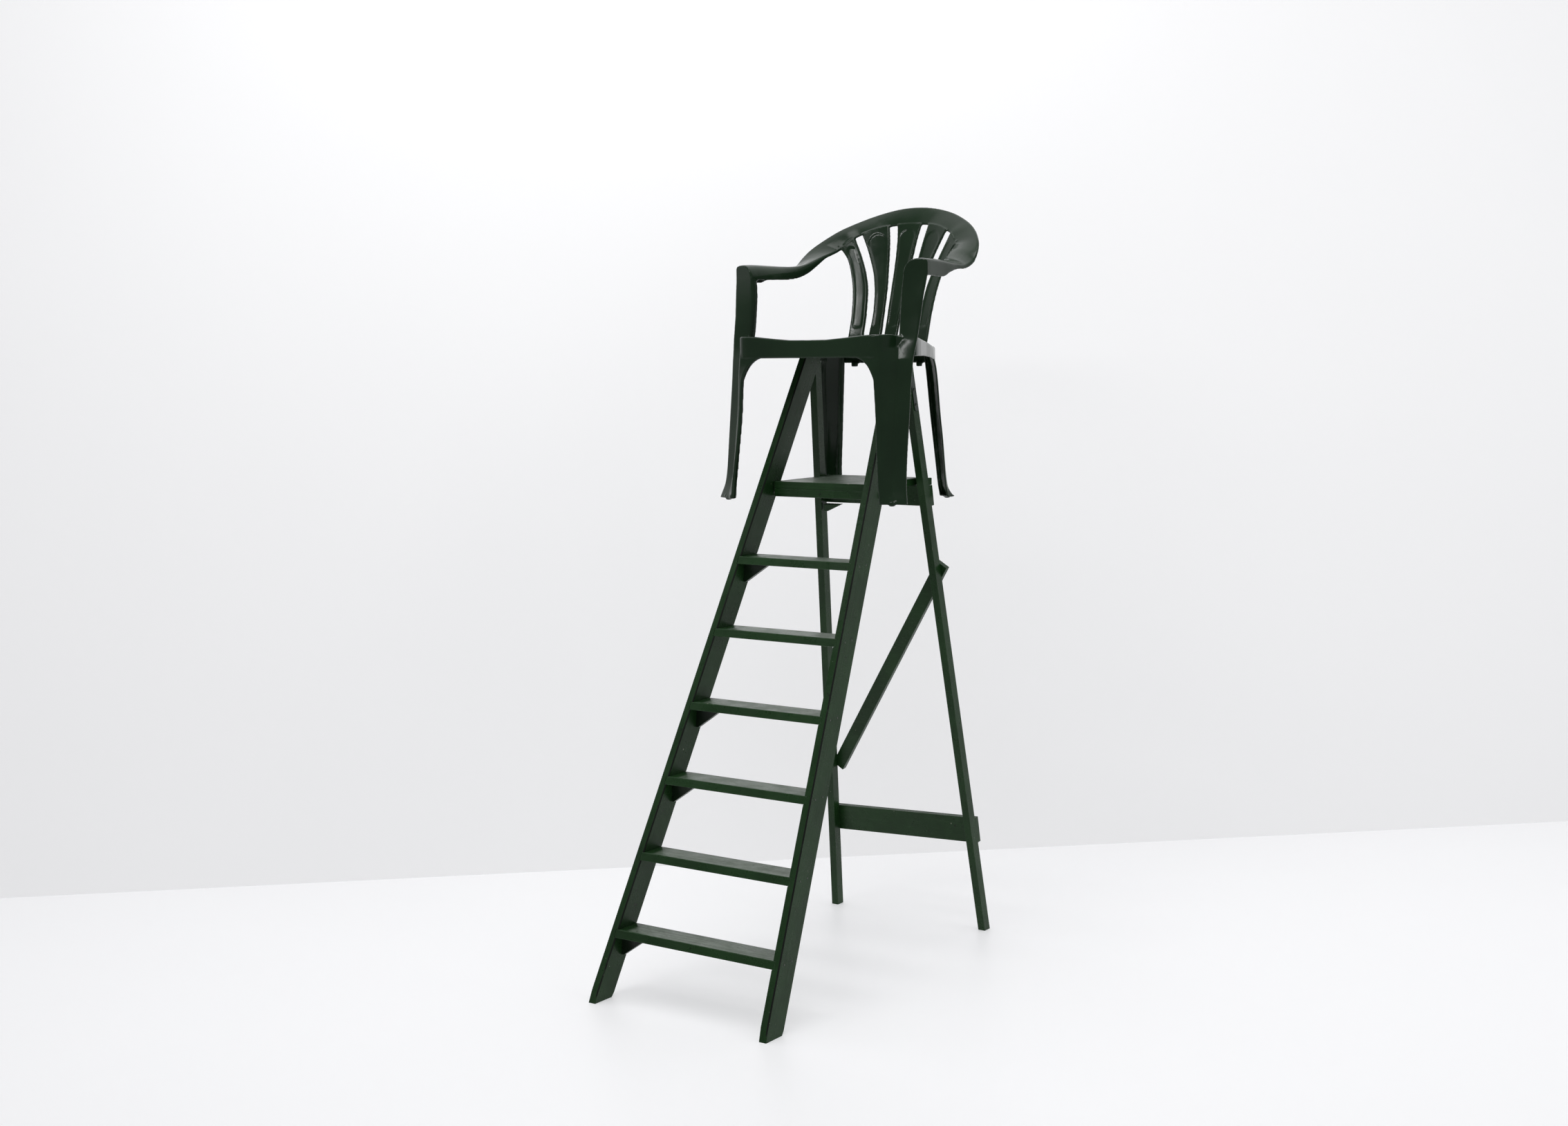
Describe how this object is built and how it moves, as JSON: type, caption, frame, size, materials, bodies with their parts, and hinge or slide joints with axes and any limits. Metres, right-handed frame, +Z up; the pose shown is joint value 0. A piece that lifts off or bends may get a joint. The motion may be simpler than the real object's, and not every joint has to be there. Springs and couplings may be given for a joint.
{
  "type": "tennis umpire chair",
  "caption": "Umpire's high chair: a painted wooden platform stepladder with a folding rear frame and a tilting foot platform, carrying a moulded slatted armchair on its top board.",
  "frame": {"origin": "bottom centre of the whole object's bounding box, on the floor", "axes": "+Z up; the climbing side faces -Y and the sitter faces -Y; +X is to the right when looking along +Y"},
  "size_m": [0.635, 1.2131, 2.0957],
  "materials": {
    "painted_wood": "satin dark green paint over softwood",
    "worn_painted_wood": "dark green paint, worn and paler on the walking surfaces",
    "moulded_plastic": "dark green moulded plastic, semi-gloss",
    "painted_steel": "painted over with the woodwork",
    "zinc_hardware": "dull zinc"
  },
  "bodies": {
    "ladder": {"stile_left": "painted_wood", "stile_right": "painted_wood", "tread_1": "worn_painted_wood", "tread_2": "worn_painted_wood", "tread_3": "worn_painted_wood", "tread_4": "worn_painted_wood", "tread_5": "worn_painted_wood", "tread_6": "worn_painted_wood", "tread_gusset_1": "painted_wood", "tread_gusset_3": "painted_wood", "tread_gusset_4": "painted_wood", "tread_gusset_6": "painted_wood", "top_board": "painted_wood", "stile_plate_screw_left_1": "zinc_hardware", "stile_plate_screw_left_2": "zinc_hardware", "stile_plate_left": "painted_steel", "stile_plate_screw_right_1": "zinc_hardware", "stile_plate_screw_right_2": "zinc_hardware", "stile_plate_right": "painted_steel", "chair_shell": "moulded_plastic", "seat_washer_1": "zinc_hardware", "seat_screw_1": "zinc_hardware", "seat_washer_2": "zinc_hardware", "seat_screw_2": "zinc_hardware", "seat_washer_3": "zinc_hardware", "seat_screw_3": "zinc_hardware", "seat_washer_4": "zinc_hardware", "seat_screw_4": "zinc_hardware"},
    "rear_frame": {"rear_leg_left": "painted_wood", "rear_leg_right": "painted_wood", "upper_rail": "painted_wood", "rail_gusset_left": "painted_wood", "lower_rail": "painted_wood", "diagonal_brace": "painted_wood", "leg_strap_left": "painted_steel", "leg_strap_screw_left_1": "zinc_hardware", "leg_strap_screw_left_2": "zinc_hardware", "hinge_rivet_left": "zinc_hardware", "leg_strap_right": "painted_steel", "leg_strap_screw_right_1": "zinc_hardware", "leg_strap_screw_right_2": "zinc_hardware", "hinge_rivet_right": "zinc_hardware"},
    "platform": {"platform_board": "worn_painted_wood", "platform_rear_batten": "painted_wood", "pivot_washer_left": "zinc_hardware", "pivot_bolt_left": "zinc_hardware", "pivot_washer_right": "zinc_hardware", "pivot_bolt_right": "zinc_hardware", "platform_front_rail": "painted_wood"}
  },
  "joints": [
    {"name": "rear_frame_fold", "type": "hinge", "parent": "ladder", "child": "rear_frame", "pos_m": [0, 0.2833, 1.6308], "axis": [-1, 0, 0], "range_deg": [0, 31]},
    {"name": "platform_tilt", "type": "hinge", "parent": "ladder", "child": "platform", "pos_m": [0, 0.105, 1.2985], "axis": [1, 0, 0], "range_deg": [0, 40.3]}
  ],
  "couplings": [
    {"joint": "platform_tilt", "follows": "rear_frame_fold", "ratio": 1.3}
  ]
}
